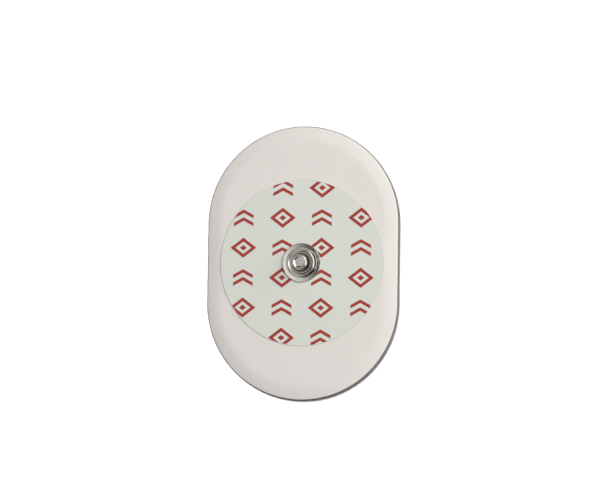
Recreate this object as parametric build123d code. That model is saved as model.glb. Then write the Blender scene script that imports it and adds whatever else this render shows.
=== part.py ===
import os

from build123d import *

# Sizes are in millimetres. X runs across the pad and Y along it. Z is up from the underside of the
# release liner, which is the face that the electrode lies on, and the stud stands on the Z axis.

# Foam pad, die-cut from sheet: two round ends joined by straight sides
pad_width = 50.0
pad_straight = 20.5
pad_thickness = 1.6
pad_edge_radius = 1.0
pad_edge_limit_share = 0.75
pad_foot_chamfer = 0.2
well_radius = 9.0

# Release liner, a clear film cut flush with the pad
liner_thickness = 0.1

# Label, a round of printed film over the well
label_radius = 21.35
label_thickness = 0.12
label_hole_clearance = 0.1

# Snap stud, drawn from plated sheet: a turned-down lip, a sloping rim, a flat land, a rounded ring, a
# groove, a neck, and a ball head with a short straight band at its widest and a dimple in its crown
sheet_thickness = 0.25
flange_radius = 5.0
lip_height = 0.42
lip_bevel = 0.15
rim_width = 0.6
rim_rise = 0.15
land_width = 0.45
step_width = 0.55
step_rise = 0.65
ring_bend = 0.4
groove_slope_width = 0.7
groove_depth = 0.3
neck_height = 0.72
neck_undercut = 0.35
head_radius = 2.0
flare_height = 0.35
head_height = 1.26
head_bend = 0.55
crown_bend = 0.36
crown_cut_share = 0.58
crown_rim_width = 0.45
dimple_slope_width = 0.35
dimple_depth = 0.15

# Sensor eyelet, a moulded disc with a post that is pressed into the stud
eyelet_rim_thickness = 0.4
eyelet_taper_depth = 0.25
eyelet_nose_radius = 2.5
eyelet_edge_chamfer = 0.12
post_clearance = 0.02
post_tip_gap = 0.12
post_tip_chamfer = 0.25

# How far cuts run past what they cut
overrun = 1.0

# Heights and radii that follow from the sizes above
pad_base_z = liner_thickness
label_base_z = pad_base_z + pad_thickness
stud_base_z = label_base_z + label_thickness
neck_radius = head_radius - neck_undercut
post_radius = neck_radius - sheet_thickness - post_clearance
label_hole_radius = post_radius + label_hole_clearance
eyelet_radius = flange_radius


def outline():
    """The oval that the pad and the liner are cut to, long along Y."""
    return SlotCenterToCenter(pad_straight, pad_width, rotation=90)


def turned(section):
    """The solid that a face drawn as (radius, height) sweeps out round Z."""
    return revolve(Plane.XZ * section, Axis.Z)


def stud_corners():
    """Corners of the stud's outer surface, from the lip's foot to the middle of the dimple, each as
    (radius, height above the label, radius of the bend there)."""
    land_outer_r = flange_radius - rim_width
    land_inner_r = land_outer_r - land_width
    ring_r = land_inner_r - step_width
    land_z = lip_height + rim_rise
    ring_z = land_z + step_rise
    groove_z = ring_z - groove_depth
    neck_top_z = groove_z + neck_height
    band_z = neck_top_z + flare_height
    crown_z = band_z + head_height
    dimple_r = head_radius - crown_rim_width
    return [
        (flange_radius, 0, 0),
        (flange_radius, lip_height - lip_bevel, 0),
        (flange_radius - lip_bevel, lip_height, 0),
        (land_outer_r, land_z, 0),
        (land_inner_r, land_z, 0),
        (ring_r, ring_z, ring_bend),
        (ring_r - groove_slope_width, groove_z, 0),
        (neck_radius, groove_z, 0),
        (neck_radius, neck_top_z, 0),
        (head_radius, band_z, head_bend),
        (head_radius, crown_z, crown_bend),
        (dimple_r, crown_z, 0),
        (dimple_r - dimple_slope_width, crown_z - dimple_depth, 0),
        (0, crown_z - dimple_depth, 0),
    ]


def snap_stud():
    """The hollow stud: the outer surface with its bends, less the hollow one sheet's thickness inside,
    whose corner under the crown's bend is cut straight across."""
    corners = [(r, z) for r, z, _ in stud_corners()]
    bends = [bend for *_, bend in stud_corners()[1:-1]]
    top_z = corners[-1][1]
    skin = FilletPolyline(*corners, radius=bends)
    outside = make_face([skin, Polyline((0, top_z), (0, 0), (flange_radius, 0))])
    core = make_face(
        Polyline(
            *corners,
            (-overrun, top_z),
            (-overrun, -overrun),
            (flange_radius, -overrun),
            close=True,
        )
    )
    crown_corner = core.vertices().sort_by_distance((head_radius, top_z))[0]
    core = chamfer(crown_corner, crown_bend * crown_cut_share)
    hollow = offset(core, -sheet_thickness, kind=Kind.INTERSECTION)
    return Pos(0, 0, stud_base_z) * turned(outside - hollow)


def sensor_eyelet():
    """The coated disc under the label, tapered on its gel side, with its post up inside the stud."""
    rim_z = label_base_z - eyelet_rim_thickness
    nose_z = rim_z - eyelet_taper_depth
    dimple_floor_z = stud_base_z + stud_corners()[-1][1] - sheet_thickness
    tip_z = dimple_floor_z - post_tip_gap
    half_section = Polyline(
        (0, nose_z),
        (eyelet_nose_radius, nose_z),
        (eyelet_radius - eyelet_edge_chamfer, rim_z),
        (eyelet_radius, rim_z + eyelet_edge_chamfer),
        (eyelet_radius, label_base_z),
        (post_radius, label_base_z),
        (post_radius, tip_z - post_tip_chamfer),
        (post_radius - post_tip_chamfer, tip_z),
        (0, tip_z),
        close=True,
    )
    return turned(make_face(half_section))


def label_disc():
    """The film label, with the hole that the eyelet's post comes up through."""
    ring = Circle(label_radius) - Circle(label_hole_radius)
    return Pos(0, 0, label_base_z) * extrude(ring, label_thickness)


def foam_pad():
    """The foam oval, its upper edge crushed round by the die and its lower edge drawn in a little, with
    the well cut through it."""
    pad = extrude(outline(), pad_thickness)
    edge_radius = min(pad_edge_radius, pad_thickness * pad_edge_limit_share)
    pad = fillet(pad.faces().sort_by(Axis.Z)[-1].edges(), edge_radius)
    pad = chamfer(pad.faces().sort_by(Axis.Z)[0].edges(), pad_foot_chamfer)
    return Pos(0, 0, pad_base_z) * (pad - extrude(Circle(well_radius), pad_thickness))


def gel_disc(eyelet):
    """The gel that fills the well from the liner up to the label, moulded round the eyelet."""
    return Pos(0, 0, pad_base_z) * extrude(Circle(well_radius), pad_thickness) - eyelet


def release_liner():
    """The clear film under the pad and the gel."""
    return extrude(outline(), liner_thickness)


eyelet = sensor_eyelet()
nodes = {
    "snap_stud": snap_stud(),
    "sensor_eyelet": eyelet,
    "label_disc": label_disc(),
    "foam_pad": foam_pad(),
    "gel_disc": gel_disc(eyelet),
    "release_liner": release_liner(),
}

os.makedirs("parts", exist_ok=True)
for name, shape in nodes.items():
    export_step(shape, f"parts/{name}.step")
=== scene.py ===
"""Dresses a disposable snap electrode round its CAD frame: foam pad, printed label, drawn stud,
coated eyelet, gel and release liner, with a small studio to look at it in."""

import math

import bmesh
import bpy
from bpy.props import FloatProperty, FloatVectorProperty, PointerProperty
from mathutils import Matrix, Vector, noise


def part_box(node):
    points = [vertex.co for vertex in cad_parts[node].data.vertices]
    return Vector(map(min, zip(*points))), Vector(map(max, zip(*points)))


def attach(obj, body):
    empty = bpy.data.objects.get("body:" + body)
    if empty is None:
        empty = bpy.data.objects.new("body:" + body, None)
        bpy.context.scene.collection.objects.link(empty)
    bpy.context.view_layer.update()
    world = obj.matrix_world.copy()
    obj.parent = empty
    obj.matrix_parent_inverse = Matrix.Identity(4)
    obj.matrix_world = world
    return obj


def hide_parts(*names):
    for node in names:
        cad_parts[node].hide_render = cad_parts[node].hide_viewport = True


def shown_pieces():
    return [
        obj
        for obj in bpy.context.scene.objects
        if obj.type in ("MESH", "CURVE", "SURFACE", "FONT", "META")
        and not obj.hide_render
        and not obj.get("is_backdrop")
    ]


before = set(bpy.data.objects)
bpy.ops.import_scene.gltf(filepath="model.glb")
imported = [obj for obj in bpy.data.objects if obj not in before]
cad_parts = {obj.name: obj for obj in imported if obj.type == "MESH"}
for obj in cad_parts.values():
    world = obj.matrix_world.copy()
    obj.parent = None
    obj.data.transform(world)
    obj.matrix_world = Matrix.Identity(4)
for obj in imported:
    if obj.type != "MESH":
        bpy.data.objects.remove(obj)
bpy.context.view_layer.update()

bl_info = {
    "name": "Snap Electrode Pieces",
    "version": (1, 0, 0),
    "blender": (4, 5, 0),
    "location": "3D View > Sidebar > Electrode",
    "description": "Builds the pieces and the studio of a disposable snap electrode",
    "category": "Object",
}

MM = 0.001
BODY = "root"

ROUND_STEPS = 192
BEND_SEGMENTS = 8
WELD = 1e-7
# Air left between faces that touch in the CAD, so that neither shows through the other
AIR = 0.01 * MM
# Angle in degrees past which the liner's edges are sharp
SHARP_ANGLE = 30

# Rings of faces on the pad: up its foot, round its edge, over its margin, and on its flat faces
WALL_RINGS = 5
EDGE_RINGS = 8
MARGIN_RINGS = 10
TOP_CUTS = 16
FOOT_CUTS = 4
WELL_CUTS = 3
MARGIN_CURVE = 1.4
# How wide one swell of the foam's skin is, and how far outside the label it reaches its full depth
SWAY_SIZE = 7 * MM
SWAY_FADE = 1.5 * MM

# Half the width and half the height of the printed lozenge and of the small one inside it
LOZENGE = (2.75 * MM, 2.1 * MM)
KERNEL = (0.95 * MM, 0.72 * MM)

# The label's hole and the bend of its edges, in millimetres
LABEL_HOLE_RADIUS = 1.48
LABEL_EDGE_BEND = 0.03

# Air round the gel at the well's wall, at the liner and at the label, and the bends of its outer
# edges, in millimetres
GEL_SIDE_GAP = 0.03
GEL_FOOT_GAP = 0.01
GEL_TOP_GAP = 0.02
GEL_FOOT_BEND = 0.2
GEL_TOP_BEND = 0.1

# The floor starts this far inside the pad's outline, in rings that each grow this much
FLOOR_INSET = 0.25 * MM
FLOOR_HEIGHT = -2 * AIR
FLOOR_RINGS = 5
FLOOR_GROWTH = 3.2
# Share of the floor's colour that is left where it lights the pad
FLOOR_BOUNCE = 0.12

TENT_RADIUS = 2.0
TENT_FOLDS = 4
# Directions in the tent: to its pale side, to its ceiling, and out to and along the lamp's window
PALE_SIDE = (-0.95, -0.3, 0)
CEILING = (-0.35, 0, 1)
WINDOW_OUT = (0.94, 0.34, 0)
WINDOW_ALONG = (-0.34, 0.94, 0)
# How far out the window's middle is, as a share of the tent's radius
WINDOW_REACH = 0.6

# Azimuth and elevation of the lamps in degrees, and their distance in metres
KEY_PLACE = (24, 38)
FLOOR_LAMP_PLACE = (125, 58)
LAMP_DISTANCE = 1.0
KEY_SIZE = (0.8, 1.0)
# Angle that the floor's lamp fills in its sky, in degrees
FLOOR_LAMP_ANGLE = 20
CAMERA_CLIP = (0.01, 100)

pad_low, pad_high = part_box("foam_pad")
label_low, label_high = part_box("label_disc")
liner_low, liner_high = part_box("release_liner")
gel_low, gel_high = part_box("gel_disc")
pad_radius = pad_high.x
pad_half_straight = pad_high.y - pad_radius
label_radius = label_high.x
well_radius = gel_high.x

# The stud's outer surface from the foot of its lip to the middle of its dimple, as radius, height
# above the label and radius of the bend there, all in millimetres
STUD_CORNERS = (
    (5.0, 0, 0),
    (5.0, 0.36, 0.12),
    (3.95, 0.6, 0.12),
    (3.4, 1.22, 0.3),
    (2.7, 0.92, 0.12),
    (1.65, 0.92, 0.15),
    (1.65, 1.64, 0.12),
    (2.0, 1.99, 0.55),
    (2.0, 3.25, 0.42),
    (1.5, 3.25, 0.3),
    (1.12, 3.08, 0.3),
    (0, 3.08, 0),
)
# The eyelet's outline from the middle of its nose to the tip of its post, in the same way but with
# heights above the liner's underside
EYELET_CORNERS = (
    (0, 1.05, 0),
    (2.5, 1.05, 0.8),
    (4.88, 1.3, 0.1),
    (5.0, 1.42, 0.1),
    (5.0, 1.69, 0),
    (1.38, 1.69, 0),
    (1.38, 4.3, 0.1),
    (1.13, 4.55, 0.1),
    (0, 4.55, 0),
)
# The gel's face round the eyelet, from beside its rim to the middle of its nose, as the eyelet's
GEL_SEAT_CORNERS = (
    (5.02, 1.41, 0),
    (4.89, 1.28, 0),
    (2.5, 1.03, 0.8),
    (0, 1.03, 0),
)


def length(label, text, default):
    """A length that the user may change, in metres."""
    return FloatProperty(
        name=label, description=text, default=default, min=0, precision=5, unit="LENGTH"
    )


def amount(label, text, default):
    """A plain number that the user may change."""
    return FloatProperty(name=label, description=text, default=default, min=0)


def colour(label, text, default):
    """A colour that the user may change."""
    return FloatVectorProperty(
        name=label, description=text, default=default, min=0, max=1, subtype="COLOR"
    )


class PadSettings(bpy.types.PropertyGroup):
    """Shape and colour of the foam pad's edge and skin."""

    margin_width: length("Margin Width", "How far in the foam begins to thin", 3.8 * MM)
    margin_drop: length("Margin Drop", "How much thinner the foam is at its outline", 0.56 * MM)
    edge_width: length("Edge Width", "How far the crushed wall leans in", 0.47 * MM)
    widest_height: length("Widest Height", "Height above the liner of the widest place", 0.3 * MM)
    foot_tuck: length("Foot Tuck", "How far the wall draws in towards the liner", 0.15 * MM)
    # Painted shade: the cut wall's colour is darkened to this share, standing in for the shade and
    # contact shadow along the pad's edge
    painted_wall_shade: amount("Cut Shade", "How bright the cut wall is beside the foam's skin", 0.22)
    sway: length("Sway", "How far the foam's skin sinks in places outside the label", 0.03 * MM)
    foam_colour: colour("Foam", "Colour of the foam", (0.735, 0.695, 0.655))
    cell_size: length("Cell Size", "Width of one cell of the foam", 0.28 * MM)


class LabelSettings(bpy.types.PropertyGroup):
    """Print and colours of the label."""

    cell_width: length("Cell Width", "Distance between motifs across the roll", 10.25 * MM)
    cell_height: length("Cell Height", "Distance between motifs along the roll", 7.7 * MM)
    stroke: length("Stroke", "Width of the printed lines", 0.8 * MM)
    film_colour: colour("Film", "Colour of the unprinted film", (0.658, 0.672, 0.610))
    ink_colour: colour("Ink", "Colour of the print", (0.33, 0.035, 0.027))
    # Painted shade: the film's colour in a thin ring at its cut edge is darkened to this share,
    # standing in for the edge's shade
    painted_edge_shade: amount("Edge Shade", "How bright the film's cut edge is beside its face", 0.84)


class StudSettings(bpy.types.PropertyGroup):
    """Sheet and plating of the stud."""

    sheet: length("Sheet", "Thickness of the drawn sheet", 0.25 * MM)
    plate_colour: colour("Plating", "Colour of the plating", (0.70, 0.68, 0.63))
    # Painted shade: a dark colour laid into the groove under the head, standing in for the shade in
    # that recess
    groove_shade_colour: colour("Groove", "Colour of the dull plating in the groove", (0.14, 0.135, 0.11))
    roughness: amount("Roughness", "Roughness of the plating where it is unworn", 0.12)


class SensorSettings(bpy.types.PropertyGroup):
    """Colours of the pieces under the label."""

    coat_colour: colour("Coat", "Colour of the eyelet's coat", (0.33, 0.32, 0.32))
    gel_colour: colour("Gel", "Tint of the gel", (0.78, 0.88, 0.90))
    liner_colour: colour("Liner", "Tint of the release liner", (0.86, 0.88, 0.89))


class StudioSettings(bpy.types.PropertyGroup):
    """Light and camera of the studio."""

    key_power: FloatProperty(
        name="Key Power", description="Power of the key lamp", default=15.5, min=0, unit="POWER"
    )
    floor_light: amount("Floor Light", "Strength of the lamp that lights the floor alone", 3.6)
    sky: amount("Sky", "Strength of the sky straight overhead", 0.3)
    horizon: amount("Horizon", "Strength of the sky at the horizon", 0.03)
    under_light: amount("Under Light", "Strength of the light from below", 0.9)
    tent_left: amount("Tent Left", "Strength of the tent's left side in reflections", 0.95)
    tent_right: amount("Tent Right", "Strength of the tent's right side in reflections", 0.12)
    window: amount("Window", "Strength of the lamp's window in the tent", 4.5)
    floor_colour: colour("Floor", "Colour of the floor", (1.0, 1.0, 1.0))
    tilt: FloatProperty(
        name="Tilt",
        description="How far the camera leans to the pad's right",
        default=math.radians(11.5),
        subtype="ANGLE",
    )
    nod: FloatProperty(
        name="Nod",
        description="How far the camera leans to the pad's near end",
        default=math.radians(4.0),
        subtype="ANGLE",
    )
    distance: length("Distance", "Distance from the camera to the pad", 0.6)
    view_width: length("View Width", "Width of the view at the pad", 153.7 * MM)
    aside: length("Aside", "How far left of the pad's middle the view is centred", 0.45 * MM)
    above: length("Above", "How far above the pad's middle the view is centred", 2.87 * MM)


# Nodes and materials


def wire(tree, kind, sockets=None, **settings):
    """Adds a node with its settings, and links or sets its inputs."""
    node = tree.nodes.new(kind)
    for key, value in settings.items():
        setattr(node, key, value)
    for key, value in (sockets or {}).items():
        if isinstance(value, bpy.types.NodeSocket):
            tree.links.new(value, node.inputs[key])
        else:
            node.inputs[key].default_value = value
    return node


def calculate(tree, operation, *values, clamp=False):
    """The output of a Math node."""
    return wire(
        tree, "ShaderNodeMath", dict(enumerate(values)), operation=operation, use_clamp=clamp
    ).outputs[0]


def vary(tree, value, low, high):
    """A number that runs from low to high with a mask."""
    return calculate(tree, "MULTIPLY_ADD", value, high - low, low)


def ramp(tree, value, start, end, low=0.0, high=1.0, soft=False):
    """A number that runs from low to high while a value runs from start to end."""
    return wire(
        tree,
        "ShaderNodeMapRange",
        {"Value": value, "From Min": start, "From Max": end, "To Min": low, "To Max": high},
        interpolation_type="SMOOTHSTEP" if soft else "LINEAR",
    ).outputs[0]


def clouds(tree, place, scale, detail):
    """The output of a Noise Texture node."""
    return wire(
        tree, "ShaderNodeTexNoise", {"Vector": place, "Scale": scale, "Detail": detail}
    ).outputs[0]


def height_of(tree, place):
    """How high a point lies."""
    return wire(tree, "ShaderNodeSeparateXYZ", {0: place}).outputs["Z"]


def radius_of(tree, place):
    """How far a point lies from the stud's axis."""
    flat = wire(tree, "ShaderNodeVectorMath", {0: place, 1: (1, 1, 0)}, operation="MULTIPLY")
    return wire(
        tree, "ShaderNodeVectorMath", {0: flat.outputs[0]}, operation="LENGTH"
    ).outputs["Value"]


def opaque(rgb, share=1.0):
    """A colour with its alpha, darkened to a share."""
    return tuple(share * part for part in rgb) + (1.0,)


def blend_colours(tree, factor, first, second):
    """The output of a colour Mix node."""
    return wire(
        tree,
        "ShaderNodeMix",
        {"Factor": factor, 6: first, 7: second},
        data_type="RGBA",
    ).outputs[2]


def shades(tree, mask, rgb, low, high):
    """A colour that runs with a mask from one share of its brightness to another."""
    return blend_colours(tree, mask, opaque(rgb, low), opaque(rgb, high))


def start_group(name, inputs, outputs):
    """An empty shader node group with named inputs and outputs."""
    group = bpy.data.node_groups.new(name, "ShaderNodeTree")
    for label, kind, default in inputs:
        socket = group.interface.new_socket(label, in_out="INPUT", socket_type=kind)
        if default is not None:
            socket.default_value = default
    for label in outputs:
        group.interface.new_socket(label, in_out="OUTPUT", socket_type="NodeSocketFloat")
    given = group.nodes.new("NodeGroupInput").outputs
    return group, given, group.nodes.new("NodeGroupOutput").inputs


def roll_print_group():
    """The label's print: hollow lozenges and pairs of chevrons that take turns on the roll."""
    group, given, result = start_group(
        "roll_print",
        [
            ("Vector", "NodeSocketVector", None),
            ("Cell Width", "NodeSocketFloat", 10 * MM),
            ("Cell Height", "NodeSocketFloat", 8 * MM),
            ("Stroke", "NodeSocketFloat", 0.8 * MM),
            ("Softness", "NodeSocketFloat", 0.04 * MM),
        ],
        ["Ink"],
    )
    place = wire(group, "ShaderNodeSeparateXYZ", {0: given["Vector"]}).outputs
    across = calculate(group, "DIVIDE", place["X"], given["Cell Width"])
    along = calculate(group, "DIVIDE", place["Y"], given["Cell Height"])
    column = calculate(group, "ROUND", across)
    row = calculate(group, "ROUND", along)
    turn = calculate(group, "FLOORED_MODULO", calculate(group, "ADD", column, row), 2.0)
    x = calculate(
        group, "MULTIPLY", calculate(group, "SUBTRACT", across, column), given["Cell Width"]
    )
    y = calculate(
        group, "MULTIPLY", calculate(group, "SUBTRACT", along, row), given["Cell Height"]
    )
    x = calculate(group, "ABSOLUTE", x)
    half_stroke = calculate(group, "MULTIPLY", given["Stroke"], 0.5)

    def lozenge(half_width, half_height):
        """Distance to a lozenge's outline, negative inside it."""
        slant = math.hypot(half_width, half_height)
        side = calculate(group, "MULTIPLY", x, half_height / slant)
        side = calculate(
            group, "MULTIPLY_ADD", calculate(group, "ABSOLUTE", y), half_width / slant, side
        )
        return calculate(group, "SUBTRACT", side, half_width * half_height / slant)

    outline = calculate(group, "ABSOLUTE", lozenge(*LOZENGE))
    outline = calculate(group, "SUBTRACT", outline, half_stroke)
    lozenges = calculate(group, "MINIMUM", outline, lozenge(*KERNEL))

    slope, half_gap, half_width, rise = 0.55, 1.0 * MM, 2.6 * MM, 0.72 * MM
    chevron = calculate(group, "MULTIPLY_ADD", x, slope, y)
    chevron = calculate(group, "ABSOLUTE", calculate(group, "SUBTRACT", chevron, rise))
    chevron = calculate(group, "ABSOLUTE", calculate(group, "SUBTRACT", chevron, half_gap))
    chevron = calculate(group, "DIVIDE", chevron, math.hypot(1, slope))
    chevron = calculate(group, "SUBTRACT", chevron, half_stroke)
    chevrons = calculate(
        group, "MAXIMUM", chevron, calculate(group, "SUBTRACT", x, half_width)
    )
    distance = wire(
        group, "ShaderNodeMix", {"Factor": turn, 2: lozenges, 3: chevrons}, data_type="FLOAT"
    ).outputs[0]
    faded = calculate(group, "DIVIDE", distance, given["Softness"])
    faded = calculate(group, "MULTIPLY_ADD", faded, -0.5, 0.5, clamp=True)
    group.links.new(faded, result["Ink"])
    return group


def film_wave_group():
    """The slow waves and fine haze of a thin film that lies on something soft."""
    group, given, result = start_group(
        "film_wave",
        [
            ("Vector", "NodeSocketVector", None),
            ("Wave Scale", "NodeSocketFloat", 110.0),
            ("Haze Scale", "NodeSocketFloat", 2600.0),
            ("Haze Share", "NodeSocketFloat", 0.08),
        ],
        ["Height", "Haze"],
    )
    wave = clouds(group, given["Vector"], given["Wave Scale"], 1.0)
    haze = clouds(group, given["Vector"], given["Haze Scale"], 3.0)
    height = calculate(group, "MULTIPLY_ADD", haze, given["Haze Share"], wave)
    group.links.new(height, result["Height"])
    group.links.new(haze, result["Haze"])
    return group


def surface_wear_group():
    """Soft blotches, fine peel and a few hair scratches, for plating and coats."""
    group, given, result = start_group(
        "surface_wear",
        [
            ("Vector", "NodeSocketVector", None),
            ("Blotch Scale", "NodeSocketFloat", 900.0),
            ("Peel Scale", "NodeSocketFloat", 5000.0),
            ("Scratch Scale", "NodeSocketFloat", 700.0),
        ],
        ["Blotch", "Peel", "Scratch"],
    )
    blotch = clouds(group, given["Vector"], given["Blotch Scale"], 3.0)
    peel = clouds(group, given["Vector"], given["Peel Scale"], 2.0)
    stretched = wire(
        group,
        "ShaderNodeMapping",
        {"Vector": given["Vector"], "Rotation": (0.3, 0.2, 0.7), "Scale": (1.0, 14.0, 1.0)},
    ).outputs[0]
    hairs = clouds(group, stretched, given["Scratch Scale"], 2.0)
    hairs = calculate(group, "SUBTRACT", hairs, 0.62)
    hairs = calculate(group, "MULTIPLY", hairs, 9.0, clamp=True)
    for label, value in (("Blotch", blotch), ("Peel", peel), ("Scratch", hairs)):
        group.links.new(value, result[label])
    return group


def place_group(tree, name, build, place, **values):
    """The outputs of the group of that name, which is built once and placed with its own values."""
    group = bpy.data.node_groups.get(name) or build()
    sockets = {key.replace("_", " "): value for key, value in values.items()}
    return wire(
        tree, "ShaderNodeGroup", {"Vector": place, **sockets}, node_tree=group
    ).outputs


def start_material(name, **constants):
    """A material whose shader has these constants, its node tree, its shader's inputs and Object
    coordinates."""
    material = bpy.data.materials.new(name)
    material.use_nodes = True
    tree = material.node_tree
    shader = tree.nodes["Principled BSDF"]
    for key, value in constants.items():
        shader.inputs[key.replace("_", " ")].default_value = value
    place = wire(tree, "ShaderNodeTexCoord").outputs["Object"]
    return material, tree, shader.inputs, place


def set_surface(tree, shader, tint, roughness):
    """Sets the shader's colour and roughness from masks."""
    tree.links.new(tint, shader["Base Color"])
    tree.links.new(roughness, shader["Roughness"])


def raise_bumps(tree, shader, height, distance, strength):
    """Sets the shader's normal from a height map."""
    bump = wire(
        tree, "ShaderNodeBump", {"Strength": strength, "Distance": distance, "Height": height}
    )
    tree.links.new(bump.outputs[0], shader["Normal"])


def foam_material(pad):
    """Closed-cell foam: fine cells, faint blotches, and painted shade that makes the cut wall
    darker than the skin.
    """
    material, tree, shader, place = start_material("cell_foam", Specular_IOR_Level=0.25)
    cells = wire(
        tree, "ShaderNodeTexVoronoi", {"Vector": place, "Scale": 1 / pad.cell_size}
    ).outputs["Distance"]
    blotches = clouds(tree, place, 170.0, 4.0)
    tint = shades(tree, blotches, pad.foam_colour, 0.97, 1.03)
    cell_shade = calculate(tree, "MULTIPLY", cells, 0.10, clamp=True)
    tint = blend_colours(tree, cell_shade, tint, opaque(pad.foam_colour, 0.7))
    height = height_of(tree, place)
    shoulder = pad_high.z - pad.margin_drop
    # Painted shade: the wall between the foot and the shoulder is darkened in its colour, standing
    # in for the shade along the pad's edge
    wall = ramp(tree, height, shoulder + 0.03 * MM, shoulder - 0.05 * MM, soft=True)
    above_foot = ramp(tree, height, pad_low.z + 0.02 * MM, pad_low.z + 0.05 * MM)
    cut = calculate(tree, "MULTIPLY", wall, above_foot)
    tint = blend_colours(tree, cut, tint, opaque(pad.foam_colour, pad.painted_wall_shade))
    set_surface(tree, shader, tint, vary(tree, blotches, 0.7, 0.85))
    raise_bumps(tree, shader, cells, 0.012 * MM, 0.6)
    return material


def label_material(label):
    """Satin film with the print on its upper face only, and painted shade in a thin ring at its cut
    edge.
    """
    material, tree, shader, place = start_material("printed_film", Specular_IOR_Level=0.4)
    shifted = wire(
        tree,
        "ShaderNodeMapping",
        {"Vector": place, "Location": (label.cell_width / 2, label.cell_height / 2, 0.0)},
    ).outputs[0]
    ink = place_group(
        tree,
        "roll_print",
        roll_print_group,
        shifted,
        Cell_Width=label.cell_width,
        Cell_Height=label.cell_height,
        Stroke=label.stroke,
    )["Ink"]
    on_top = calculate(tree, "GREATER_THAN", height_of(tree, place), label_high.z - 3 * AIR)
    ink = calculate(tree, "MULTIPLY", ink, on_top)
    film = place_group(tree, "film_wave", film_wave_group, place)
    base = shades(tree, film["Haze"], label.film_colour, 0.97, 1.03)
    printed = shades(tree, film["Haze"], label.ink_colour, 0.8, 1.2)
    face = blend_colours(tree, ink, base, printed)
    # Painted shade: a thin ring at the film's outline is darkened in colour, standing in for the
    # shade at its cut edge
    painted_rim = ramp(
        tree, radius_of(tree, place), label_radius - 0.16 * MM, label_radius - 0.1 * MM
    )
    face = blend_colours(tree, painted_rim, face, opaque(label.film_colour, label.painted_edge_shade))
    set_surface(tree, shader, face, vary(tree, ink, 0.38, 0.48))
    raise_bumps(tree, shader, film["Height"], 0.05 * MM, 0.5)
    return material


def plating_material(stud):
    """Bright nickel plating on drawn sheet, with a fine peel, dull patches, hair scratches and
    painted shade in the groove under the head."""
    material, tree, shader, place = start_material("bright_plating", Metallic=1.0)
    wear = place_group(tree, "surface_wear", surface_wear_group, place)
    plate = shades(tree, wear["Blotch"], stud.plate_colour, 0.9, 1.08)
    # Painted shade: the plating under the head and inside the groove is darkened to this colour,
    # standing in for the shade in the crevice
    under_head = ramp(
        tree, height_of(tree, place), label_high.z + 2.3 * MM, label_high.z + 1.7 * MM
    )
    in_groove = ramp(tree, radius_of(tree, place), 2.7 * MM, 2.4 * MM, soft=True)
    painted_groove_shade = calculate(tree, "MULTIPLY", under_head, in_groove)
    plate = blend_colours(tree, painted_groove_shade, plate, opaque(stud.groove_shade_colour))
    dull = calculate(tree, "MULTIPLY_ADD", wear["Scratch"], 0.12, stud.roughness)
    dull = calculate(tree, "MULTIPLY_ADD", wear["Blotch"], 0.08, dull)
    set_surface(tree, shader, plate, dull)
    height = calculate(tree, "MULTIPLY_ADD", wear["Scratch"], -0.15, wear["Peel"])
    height = calculate(tree, "MULTIPLY_ADD", wear["Blotch"], 0.8, height)
    raise_bumps(tree, shader, height, 0.004 * MM, 0.5)
    return material


def coat_material(sensor):
    """Matt silver coat on moulded plastic."""
    material, tree, shader, place = start_material("silver_coat", Metallic=0.4)
    wear = place_group(
        tree, "surface_wear", surface_wear_group, place, Blotch_Scale=1400.0, Peel_Scale=9000.0
    )
    tint = shades(tree, wear["Blotch"], sensor.coat_colour, 0.8, 1.2)
    set_surface(tree, shader, tint, vary(tree, wear["Peel"], 0.45, 0.65))
    raise_bumps(tree, shader, wear["Peel"], 0.004 * MM, 0.7)
    return material


def gel_material(sensor):
    """Wet clear gel with a faint cloud in it."""
    material, tree, shader, place = start_material("wet_gel", IOR=1.36, Transmission_Weight=0.85)
    cloud = clouds(tree, place, 260.0, 3.0)
    tint = shades(tree, cloud, sensor.gel_colour, 0.94, 1.06)
    set_surface(tree, shader, tint, vary(tree, cloud, 0.08, 0.22))
    raise_bumps(tree, shader, cloud, 0.03 * MM, 0.5)
    return material


def liner_material(sensor):
    """Clear release film with slow waves."""
    material, tree, shader, place = start_material("clear_film", Alpha=0.22)
    film = place_group(tree, "film_wave", film_wave_group, place, Wave_Scale=90.0)
    tint = shades(tree, film["Haze"], sensor.liner_colour, 0.97, 1.03)
    set_surface(tree, shader, tint, vary(tree, film["Haze"], 0.08, 0.18))
    raise_bumps(tree, shader, film["Height"], 0.05 * MM, 0.5)
    return material


# Meshes


def add_object(name, data):
    """Adds an object that holds this data to the scene."""
    thing = bpy.data.objects.new(name, data)
    bpy.context.scene.collection.objects.link(thing)
    return thing


def add_mesh(name, bm, material):
    """Turns a bmesh into an object with that material."""
    mesh = bpy.data.meshes.new(name)
    bm.to_mesh(mesh)
    bm.free()
    mesh.materials.append(material)
    return add_object(name, mesh)


def finish_piece(name, bm, material, node):
    """Closes the bmesh's seams, turns its faces outwards and makes it the piece that stands for a
    CAD node."""
    bmesh.ops.remove_doubles(bm, verts=bm.verts, dist=WELD)
    bmesh.ops.recalc_face_normals(bm, faces=bm.faces)
    if max(bm.faces, key=lambda face: face.calc_center_median().z).normal.z < 0:
        bmesh.ops.reverse_faces(bm, faces=bm.faces)
    for face in bm.faces:
        face.smooth = True
    piece = add_mesh(name, bm, material)
    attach(piece, BODY)
    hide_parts(node)
    return piece


def even_shading(piece):
    """Keeps flat faces evenly shaded up to their rounded edges."""
    piece.modifiers.new("Weighted Normal", "WEIGHTED_NORMAL").weight = 100


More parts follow.
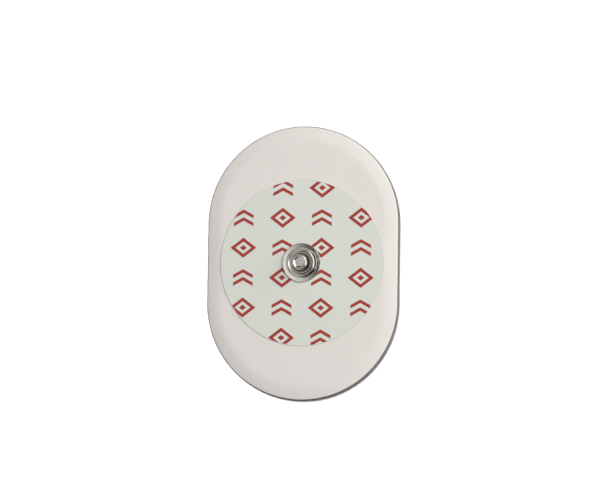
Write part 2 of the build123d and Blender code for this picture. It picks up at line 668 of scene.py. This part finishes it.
def turned(corners, base=0.0, closed=False):
    """A bmesh of what a chain of corners sweeps out round Z. Each corner is a radius and a height
    above the base, and the radius of its bend, in millimetres."""
    bm = bmesh.new()
    places = [Vector((radius * MM, 0, base + height * MM)) for radius, height, _ in corners]
    verts = [bm.verts.new(place) for place in places]
    for start, end in zip(verts, verts[1:] + (verts[:1] if closed else [])):
        bm.edges.new((start, end))
    for index, (_, _, bend) in enumerate(corners):
        if bend:
            arriving = places[index] - places[index - 1]
            leaving = places[(index + 1) % len(places)] - places[index]
            bmesh.ops.bevel(
                bm,
                geom=[verts[index]],
                offset=bend * MM * math.tan(arriving.angle(leaving) / 2),
                offset_type="OFFSET",
                segments=BEND_SEGMENTS,
                profile=0.5,
                affect="VERTICES",
                material=-1,
            )
    bmesh.ops.spin(
        bm,
        geom=bm.verts[:] + bm.edges[:],
        cent=(0, 0, 0),
        axis=(0, 0, 1),
        angle=math.tau,
        steps=ROUND_STEPS,
        use_merge=True,
    )
    return bm


def oval_loop(bm, inset, height, steps=240, cuts=40):
    """A closed loop of edges round the pad's oval, that far in from its outline."""
    others = set(bm.edges)
    ring = bmesh.ops.create_circle(
        bm,
        segments=steps,
        radius=pad_radius - inset,
        matrix=Matrix.Translation((0, 0, height)) @ Matrix.Rotation(math.pi / steps, 4, "Z"),
    )["verts"]
    for side in (1, -1):
        half = [vert for vert in ring if vert.co.y * side > 0]
        bmesh.ops.translate(bm, verts=half, vec=(0, side * pad_half_straight, 0))
    sides = [
        edge
        for edge in bm.edges
        if edge not in others and edge.verts[0].co.y * edge.verts[1].co.y < 0
    ]
    bmesh.ops.subdivide_edges(bm, edges=sides, cuts=cuts)
    return [edge for edge in bm.edges if edge not in others]


def extend(bm, loop):
    """Extrudes a loop of edges where it lies, and returns the new loop's vertices and edges."""
    made = bmesh.ops.extrude_edge_only(bm, edges=loop)["geom"]
    verts = [item for item in made if isinstance(item, bmesh.types.BMVert)]
    ends = set(verts)
    edges = [
        item
        for item in made
        if isinstance(item, bmesh.types.BMEdge) and ends.issuperset(item.verts)
    ]
    return verts, edges


def cut_rings(bm, spokes, cuts):
    """Cuts a band of faces into rings, across the edges that run over it."""
    bmesh.ops.subdivide_edges(bm, edges=spokes, cuts=cuts, use_grid_fill=True)


def close_in(bm, loop, radius, cuts):
    """Runs a flat band of faces from a loop in to a circle, and returns the circle's edges."""
    verts, circle = extend(bm, loop)
    for vert in verts:
        vert.co.xy *= radius / vert.co.xy.length
    rim = set(circle)
    cut_rings(bm, [edge for vert in verts for edge in vert.link_edges if edge not in rim], cuts)
    return circle


def bridge(bm, first, second, cuts=0):
    """Joins two loops with a band of faces."""
    others = set(bm.edges)
    bmesh.ops.bridge_loops(bm, edges=first + second)
    if cuts:
        cut_rings(bm, [edge for edge in bm.edges if edge not in others], cuts)


def pad_rim(pad):
    """The pad's crushed wall and sloping margin from its foot to its flat top, as distances in
    from the outline and heights above the liner's underside."""

    def margin_height(inset):
        return pad_high.z - pad.margin_drop * (1 - inset / pad.margin_width) ** MARGIN_CURVE

    foot = pad_low.z + AIR
    widest = foot + pad.widest_height
    shoulder = margin_height(pad.edge_width)
    rim = []
    for step in range(WALL_RINGS):
        share = step / WALL_RINGS
        rim.append((pad.foot_tuck * (1 - share) ** 2, foot + pad.widest_height * share))
    for step in range(EDGE_RINGS):
        angle = math.pi / 2 * step / EDGE_RINGS
        rim.append(
            (
                pad.edge_width * (1 - math.cos(angle)),
                widest + (shoulder - widest) * math.sin(angle),
            )
        )
    for step in range(MARGIN_RINGS + 1):
        inset = pad.edge_width + (pad.margin_width - pad.edge_width) * step / MARGIN_RINGS
        rim.append((inset, margin_height(inset)))
    return rim


class ELECTRODE_OT_foam_pad(bpy.types.Operator):
    """Make the foam pad with its crushed edge, tucked foot and well"""

    bl_idname = "electrode.foam_pad"
    bl_label = "Foam Pad"

    def execute(self, context):
        pad = context.scene.electrode_pad
        bm = bmesh.new()
        rim = [oval_loop(bm, inset, height) for inset, height in pad_rim(pad)]
        for lower, upper in zip(rim, rim[1:]):
            bridge(bm, lower, upper)
        well_top = close_in(bm, rim[-1], well_radius, TOP_CUTS)
        well_foot = close_in(bm, rim[0], well_radius, FOOT_CUTS)
        bridge(bm, well_top, well_foot, WELL_CUTS)
        # The skin only sinks, so that the pad stays inside its CAD box
        for vert in bm.verts:
            clear = (math.hypot(vert.co.x, vert.co.y) - label_radius) / SWAY_FADE
            if vert.co.z > pad_high.z - pad.margin_drop / 2:
                swell = noise.noise(vert.co / SWAY_SIZE) - 0.5
                vert.co.z += pad.sway * min(1, max(0, clear)) * max(-1, min(0, swell))
        piece = finish_piece("foam_oval", bm, foam_material(pad), "foam_pad")
        return {"FINISHED"}


class ELECTRODE_OT_label(bpy.types.Operator):
    """Make the printed film label"""

    bl_idname = "electrode.label"
    bl_label = "Printed Label"

    def execute(self, context):
        outer = label_radius / MM
        thickness = (label_high.z - label_low.z - 2 * AIR) / MM
        corners = (
            (LABEL_HOLE_RADIUS, 0, LABEL_EDGE_BEND),
            (outer, 0, LABEL_EDGE_BEND),
            (outer, thickness, LABEL_EDGE_BEND),
            (LABEL_HOLE_RADIUS, thickness, LABEL_EDGE_BEND),
        )
        bm = turned(corners, label_low.z + AIR, closed=True)
        material = label_material(context.scene.electrode_label)
        piece = finish_piece("printed_label", bm, material, "label_disc")
        even_shading(piece)
        return {"FINISHED"}


class ELECTRODE_OT_stud(bpy.types.Operator):
    """Make the hollow stud drawn from plated sheet"""

    bl_idname = "electrode.stud"
    bl_label = "Snap Stud"

    def execute(self, context):
        stud = context.scene.electrode_stud
        bm = turned(STUD_CORNERS, label_high.z)
        piece = finish_piece("drawn_stud", bm, plating_material(stud), "snap_stud")
        wall = piece.modifiers.new("Sheet", "SOLIDIFY")
        wall.thickness = stud.sheet
        wall.offset = -1
        wall.use_even_offset = True
        even_shading(piece)
        return {"FINISHED"}


class ELECTRODE_OT_eyelet(bpy.types.Operator):
    """Make the coated sensor eyelet with its post"""

    bl_idname = "electrode.eyelet"
    bl_label = "Sensor Eyelet"

    def execute(self, context):
        bm = turned(EYELET_CORNERS)
        material = coat_material(context.scene.electrode_sensor)
        piece = finish_piece("coated_eyelet", bm, material, "sensor_eyelet")
        even_shading(piece)
        return {"FINISHED"}


class ELECTRODE_OT_gel(bpy.types.Operator):
    """Make the gel that fills the well round the eyelet"""

    bl_idname = "electrode.gel"
    bl_label = "Gel"

    def execute(self, context):
        outer = well_radius / MM - GEL_SIDE_GAP
        low = gel_low.z / MM + GEL_FOOT_GAP
        high = gel_high.z / MM - GEL_TOP_GAP
        beside_eyelet = GEL_SEAT_CORNERS[0][0]
        corners = (
            (0, low, 0),
            (outer, low, GEL_FOOT_BEND),
            (outer, high, GEL_TOP_BEND),
            (beside_eyelet, high, 0),
            *GEL_SEAT_CORNERS,
        )
        bm = turned(corners)
        material = gel_material(context.scene.electrode_sensor)
        piece = finish_piece("well_gel", bm, material, "gel_disc")
        even_shading(piece)
        return {"FINISHED"}


class ELECTRODE_OT_liner(bpy.types.Operator):
    """Make the clear release liner under the pad"""

    bl_idname = "electrode.liner"
    bl_label = "Release Liner"

    def execute(self, context):
        bm = bmesh.new()
        lower = oval_loop(bm, 0, liner_low.z)
        upper = oval_loop(bm, 0, liner_high.z - AIR)
        bridge(bm, lower, upper)
        for loop in (lower, upper):
            bmesh.ops.contextual_create(bm, geom=loop)
        material = liner_material(context.scene.electrode_sensor)
        piece = finish_piece("clear_liner", bm, material, "release_liner")
        piece.modifiers.new("Edges", "EDGE_SPLIT").split_angle = math.radians(SHARP_ANGLE)
        return {"FINISHED"}


# Studio


def seen_rays(tree):
    """1 for rays by which the camera, metal and glass see something, and 0 for those that light."""
    rays = wire(tree, "ShaderNodeLightPath").outputs
    seen = calculate(tree, "MAXIMUM", rays["Is Camera Ray"], rays["Is Glossy Ray"])
    return calculate(tree, "MAXIMUM", seen, rays["Is Transmission Ray"])


def stage_material(name):
    """A material with no shader yet, its node tree and the socket that takes its surface."""
    material = bpy.data.materials.new(name)
    material.use_nodes = True
    tree = material.node_tree
    tree.nodes.remove(tree.nodes["Principled BSDF"])
    return material, tree, tree.nodes["Material Output"].inputs["Surface"]


def stage_piece(name, bm, material):
    """Adds a mesh that belongs to the studio and not to the electrode."""
    piece = add_mesh(name, bm, material)
    piece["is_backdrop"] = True
    return piece


def make_floor(studio):
    """A white floor that keeps the shadow, is clear from below and is open under the pad, so that
    the underside is lit too."""
    material, tree, surface = stage_material("studio_floor")
    tone = blend_colours(
        tree,
        seen_rays(tree),
        opaque(studio.floor_colour, FLOOR_BOUNCE),
        opaque(studio.floor_colour),
    )
    white = wire(tree, "ShaderNodeBsdfDiffuse", {"Color": tone}).outputs[0]
    back = wire(tree, "ShaderNodeNewGeometry").outputs["Backfacing"]
    clear = wire(tree, "ShaderNodeBsdfTransparent").outputs[0]
    mixed = wire(tree, "ShaderNodeMixShader", {0: back, 1: white, 2: clear}).outputs[0]
    tree.links.new(mixed, surface)
    bm = bmesh.new()
    loop = oval_loop(bm, FLOOR_INSET, FLOOR_HEIGHT)
    for _ in range(FLOOR_RINGS):
        verts, loop = extend(bm, loop)
        bmesh.ops.scale(bm, verts=verts, vec=(FLOOR_GROWTH, FLOOR_GROWTH, 1))
    bm.normal_update()
    for face in bm.faces:
        if face.normal.z < 0:
            face.normal_flip()
    return stage_piece("studio_floor", bm, material)


def make_tent(studio):
    """A tent that only reflections see: black at its foot, grey overhead and paler to the left,
    with the soft window of the key lamp on the right."""
    material, tree, surface = stage_material("studio_tent")
    place = wire(tree, "ShaderNodeTexCoord").outputs["Object"]

    def reach(direction):
        """How far a point of the tent lies in a direction, as a share of its radius."""
        share = tuple(part / TENT_RADIUS for part in direction)
        return wire(
            tree, "ShaderNodeVectorMath", {0: place, 1: share}, operation="DOT_PRODUCT"
        ).outputs["Value"]

    def fade(value, start, end, low=0.0, high=1.0):
        return ramp(tree, value, start, end, low, high, soft=True)

    sides = fade(reach(PALE_SIDE), -0.35, 0.6, studio.tent_right, studio.tent_left)
    shade = calculate(tree, "MULTIPLY", sides, fade(reach(CEILING), 0.72, 0.95, 0.02, 1.0))
    outwards = calculate(tree, "SUBTRACT", reach(WINDOW_OUT), WINDOW_REACH)
    window = fade(calculate(tree, "ABSOLUTE", outwards), 0.2, 0.11)
    along = fade(calculate(tree, "ABSOLUTE", reach(WINDOW_ALONG)), 0.7, 0.5)
    window = calculate(tree, "MULTIPLY", window, along)
    window = calculate(tree, "MULTIPLY", window, fade(reach((0, 0, 1)), 0.3, 0.5))
    shade = calculate(tree, "MULTIPLY_ADD", window, studio.window, shade)
    glow = wire(tree, "ShaderNodeEmission", {"Color": (1, 1, 1, 1), "Strength": shade}).outputs[0]
    tree.links.new(glow, surface)
    bm = bmesh.new()
    bmesh.ops.create_icosphere(bm, subdivisions=TENT_FOLDS, radius=TENT_RADIUS)
    tent = stage_piece("studio_tent", bm, material)
    tent.visible_camera = False
    tent.visible_diffuse = False
    tent.visible_transmission = False
    tent.visible_volume_scatter = False
    tent.visible_shadow = False


def make_sky(studio):
    """A sky that is bright overhead and dark at the horizon where it lights, and white where it is
    seen."""
    world = bpy.data.worlds.new("studio_sky")
    world.use_nodes = True
    bpy.context.scene.world = world
    tree = world.node_tree
    direction = wire(tree, "ShaderNodeTexCoord").outputs["Generated"]
    height = height_of(tree, direction)
    light = vary(tree, ramp(tree, height, 0.2, 0.8), studio.horizon, studio.sky)
    below = calculate(tree, "LESS_THAN", height, 0.0)
    light = calculate(tree, "MULTIPLY_ADD", below, studio.under_light, light)
    strength = wire(
        tree, "ShaderNodeMix", {"Factor": seen_rays(tree), 2: light, 3: 1.0}, data_type="FLOAT"
    ).outputs[0]
    tree.links.new(strength, tree.nodes["Background"].inputs["Strength"])
    tree.nodes["Background"].inputs["Color"].default_value = (1, 1, 1, 1)


def make_lamp(lamp, azimuth, elevation, lit):
    """Stands a lamp round the pad, shining at it, and keeps its light to the objects that it is
    for. Azimuth is from +X towards +Y, and both angles are in degrees."""
    holder = add_object(lamp.name, lamp)
    azimuth, elevation = math.radians(azimuth), math.radians(elevation)
    away = Vector(
        (
            math.cos(elevation) * math.cos(azimuth),
            math.cos(elevation) * math.sin(azimuth),
            math.sin(elevation),
        )
    )
    holder.location = away * LAMP_DISTANCE
    holder.rotation_mode = "QUATERNION"
    holder.rotation_quaternion = away.to_track_quat("Z", "Y")
    holder.visible_glossy = False
    receivers = bpy.data.collections.new(lamp.name + "_receivers")
    for thing in lit:
        receivers.objects.link(thing)
    holder.light_linking.receiver_collection = receivers


def make_lamps(studio, floor):
    """A soft key lamp for the electrode, and a lamp for the floor that sets where its shadow
    falls."""
    key = bpy.data.lights.new("key_lamp", "AREA")
    key.energy = studio.key_power
    key.shape = "RECTANGLE"
    key.size, key.size_y = KEY_SIZE
    make_lamp(key, *KEY_PLACE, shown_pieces())
    sun = bpy.data.lights.new("floor_lamp", "SUN")
    sun.energy = studio.floor_light
    sun.angle = math.radians(FLOOR_LAMP_ANGLE)
    make_lamp(sun, *FLOOR_LAMP_PLACE, [floor])


def make_camera(studio):
    """The camera, leaning to the right and a little to the near end, with the print level."""
    back = Vector((math.tan(studio.tilt), -math.tan(studio.nod), 1)).normalized()
    right = (Vector((1, 0, 0)) - back * back.x).normalized()
    up = back.cross(right)
    aim = Vector((0, 0, pad_high.z)) - right * studio.aside + up * studio.above
    camera = bpy.data.cameras.new("studio_camera")
    camera.lens = camera.sensor_width * studio.distance / studio.view_width
    camera.clip_start, camera.clip_end = CAMERA_CLIP
    holder = add_object("studio_camera", camera)
    turn = Matrix((right, up, back)).transposed().to_4x4()
    holder.matrix_world = Matrix.Translation(aim + back * studio.distance) @ turn
    bpy.context.scene.camera = holder


class ELECTRODE_OT_studio(bpy.types.Operator):
    """Make the sky, the tent, the floor, the lamps and the camera"""

    bl_idname = "electrode.studio"
    bl_label = "Studio"

    def execute(self, context):
        studio = context.scene.electrode_studio
        context.scene.view_settings.view_transform = "Standard"
        make_sky(studio)
        make_tent(studio)
        make_lamps(studio, make_floor(studio))
        make_camera(studio)
        return {"FINISHED"}


class ELECTRODE_PT_pieces(bpy.types.Panel):
    """Buttons and settings of the electrode"""

    bl_idname = "ELECTRODE_PT_pieces"
    bl_label = "Snap Electrode"
    bl_space_type = "VIEW_3D"
    bl_region_type = "UI"
    bl_category = "Electrode"

    def draw(self, context):
        for operator in OPERATORS:
            self.layout.operator(operator.bl_idname)
        for name, group in SETTINGS.items():
            box = self.layout.box()
            for key in group.__annotations__:
                box.prop(getattr(context.scene, name), key)


SETTINGS = {
    "electrode_pad": PadSettings,
    "electrode_label": LabelSettings,
    "electrode_stud": StudSettings,
    "electrode_sensor": SensorSettings,
    "electrode_studio": StudioSettings,
}
OPERATORS = (
    ELECTRODE_OT_foam_pad,
    ELECTRODE_OT_label,
    ELECTRODE_OT_stud,
    ELECTRODE_OT_eyelet,
    ELECTRODE_OT_gel,
    ELECTRODE_OT_liner,
    ELECTRODE_OT_studio,
)


def register():
    for group in SETTINGS.values():
        bpy.utils.register_class(group)
    for operator in OPERATORS:
        bpy.utils.register_class(operator)
    bpy.utils.register_class(ELECTRODE_PT_pieces)
    for name, group in SETTINGS.items():
        setattr(bpy.types.Scene, name, PointerProperty(type=group))


def unregister():
    for name in SETTINGS:
        delattr(bpy.types.Scene, name)
    bpy.utils.unregister_class(ELECTRODE_PT_pieces)
    for group in (*OPERATORS, *SETTINGS.values()):
        bpy.utils.unregister_class(group)


def main():
    """Makes every piece and the studio."""
    register()
    bpy.ops.electrode.foam_pad()
    bpy.ops.electrode.label()
    bpy.ops.electrode.stud()
    bpy.ops.electrode.eyelet()
    bpy.ops.electrode.gel()
    bpy.ops.electrode.liner()
    bpy.ops.electrode.studio()
    bpy.context.view_layer.update()


if __name__ == "__main__":
    main()
